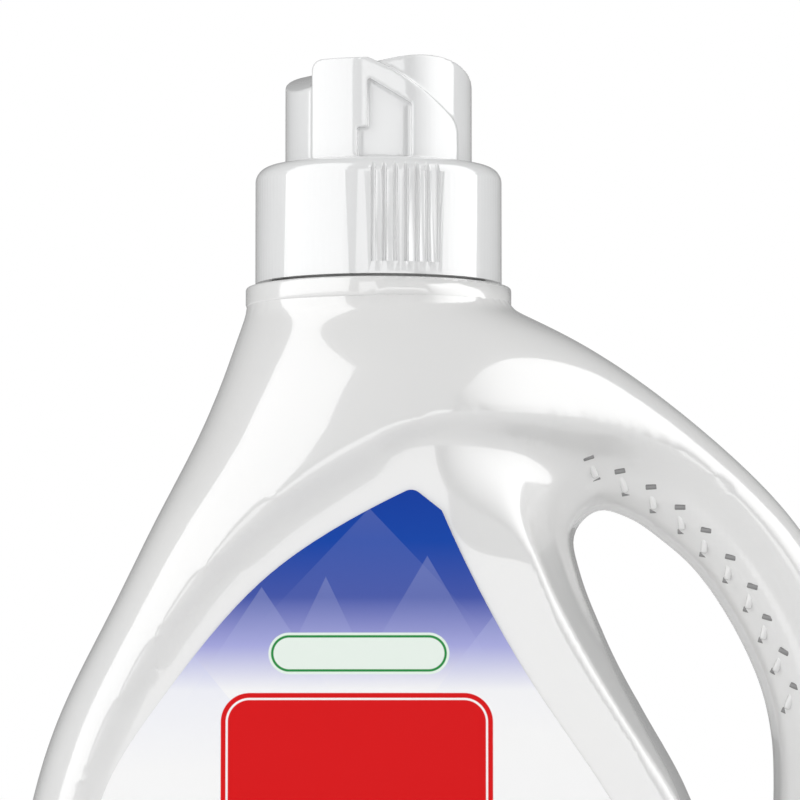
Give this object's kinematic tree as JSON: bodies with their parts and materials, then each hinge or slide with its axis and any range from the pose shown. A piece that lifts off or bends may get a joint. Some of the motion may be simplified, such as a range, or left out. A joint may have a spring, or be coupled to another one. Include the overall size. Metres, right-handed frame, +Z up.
{
  "type": "laundry detergent bottle",
  "caption": "Blow-moulded laundry detergent bottle with a side handle, recessed label face, pour spout and a ribbed screw cap with a twist-grip crown.",
  "frame": {"origin": "middle of the whole object's footprint, on the surface it stands on", "axes": "+Z up along the bottle's height, -Y towards the front label, +X towards the handle"},
  "size_m": [0.2171, 0.1018, 0.3176],
  "materials": {
    "bottle_plastic": "glossy white polyethylene",
    "spout_plastic": "natural white polypropylene",
    "gasket_foam": "matte foamed liner",
    "cap_plastic": "glossy white polypropylene",
    "label_film": "glossy printed film"
  },
  "bodies": {
    "bottle": {"bottle": "bottle_plastic", "pour_spout": "spout_plastic", "front_label": "label_film"},
    "gasket": {"cap_gasket": "gasket_foam"},
    "cap": {"cap": "cap_plastic"}
  },
  "joints": [
    {"name": "cap_lift", "type": "slide", "parent": "bottle", "child": "gasket", "axis": [0, 0, 1], "range_m": [0, 0.0075]},
    {"name": "cap_turn", "type": "hinge", "parent": "gasket", "child": "cap", "pos_m": [-0.0155, 0, 0.28], "axis": [0, 0, 1], "range_deg": [0, 450]}
  ],
  "couplings": [
    {"joint": "cap_lift", "follows": "cap_turn", "m_per_rad": 0.0009549}
  ]
}
